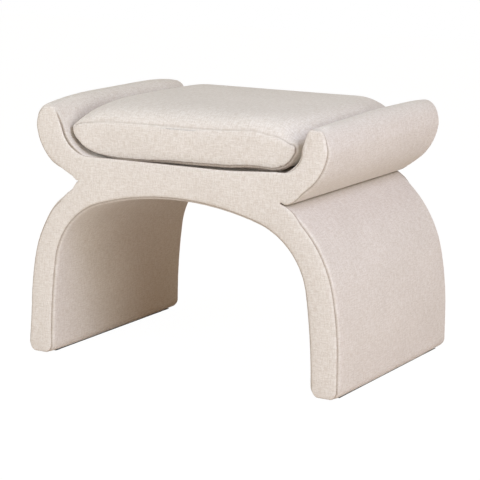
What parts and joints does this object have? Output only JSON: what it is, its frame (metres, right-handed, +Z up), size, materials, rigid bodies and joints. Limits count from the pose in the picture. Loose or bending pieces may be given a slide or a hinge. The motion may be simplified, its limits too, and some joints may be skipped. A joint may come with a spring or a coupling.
{
  "type": "upholstered stool",
  "caption": "Fabric-covered stool with an arched base, flared wings at each end and a loose cushion resting in the scoop between them.",
  "frame": {"origin": "centre of the footprint at floor level, under the glides", "axes": "+X along the width, +Y from the front to the rear, +Z up"},
  "size_m": [0.671, 0.448, 0.4915],
  "materials": {
    "upholstery_fabric": "matte",
    "foam": "matte",
    "wadding": "matte",
    "plywood": "matte",
    "timber": "matte",
    "screw_steel": "satin",
    "dust_cloth": "matte",
    "glide_plastic": "satin",
    "zip_tape": "matte",
    "zip_plastic": "satin",
    "zip_metal": "satin"
  },
  "bodies": {
    "stool": {"arch_cover": "upholstery_fabric", "arch_foam": "foam", "arch_skin": "plywood", "centre_rib": "plywood", "dust_staples": "screw_steel", "front_cover": "upholstery_fabric", "front_foam": "foam", "front_rib": "plywood", "glide_nails": "screw_steel", "left_dust_cover": "dust_cloth", "left_foot_rail": "timber", "left_front_glide": "glide_plastic", "left_front_stretcher": "timber", "left_leg_cover": "upholstery_fabric", "left_leg_foam": "foam", "left_leg_skin": "plywood", "left_rear_glide": "glide_plastic", "left_rear_stretcher": "timber", "left_wing_rail": "timber", "left_wing_skin": "plywood", "rail_screws": "screw_steel", "rear_cover": "upholstery_fabric", "rear_foam": "foam", "rear_rib": "plywood", "right_dust_cover": "dust_cloth", "right_foot_rail": "timber", "right_front_glide": "glide_plastic", "right_front_stretcher": "timber", "right_leg_cover": "upholstery_fabric", "right_leg_foam": "foam", "right_leg_skin": "plywood", "right_rear_glide": "glide_plastic", "right_rear_stretcher": "timber", "right_wing_rail": "timber", "right_wing_skin": "plywood", "seat_cover": "upholstery_fabric", "seat_deck": "plywood", "seat_foam": "foam", "stretcher_screws": "screw_steel"},
    "cushion": {"cushion_core": "foam", "cushion_wadding": "wadding", "cushion_wrap": "upholstery_fabric", "cushion_front_panel": "upholstery_fabric", "cushion_rear_upper": "upholstery_fabric", "cushion_rear_lower": "upholstery_fabric", "zip_tape_upper": "zip_tape", "zip_tape_lower": "zip_tape", "zip_teeth_upper": "zip_plastic", "zip_teeth_lower": "zip_plastic", "zip_stops": "zip_metal"},
    "slider": {"zip_slider": "zip_metal"},
    "pull": {"zip_pull": "zip_metal"}
  },
  "joints": [
    {"name": "cushion_lift", "type": "slide", "parent": "stool", "child": "cushion", "axis": [0, 0, 1], "range_m": [0, 0.2]},
    {"name": "zip_run", "type": "slide", "parent": "cushion", "child": "slider", "axis": [-1, 0, 0], "range_m": [0, 0.362]},
    {"name": "pull_swing", "type": "hinge", "parent": "slider", "child": "pull", "pos_m": [0.1815, 0.212, 0.4305], "axis": [0, 0, -1], "range_deg": [0, 165]}
  ]
}
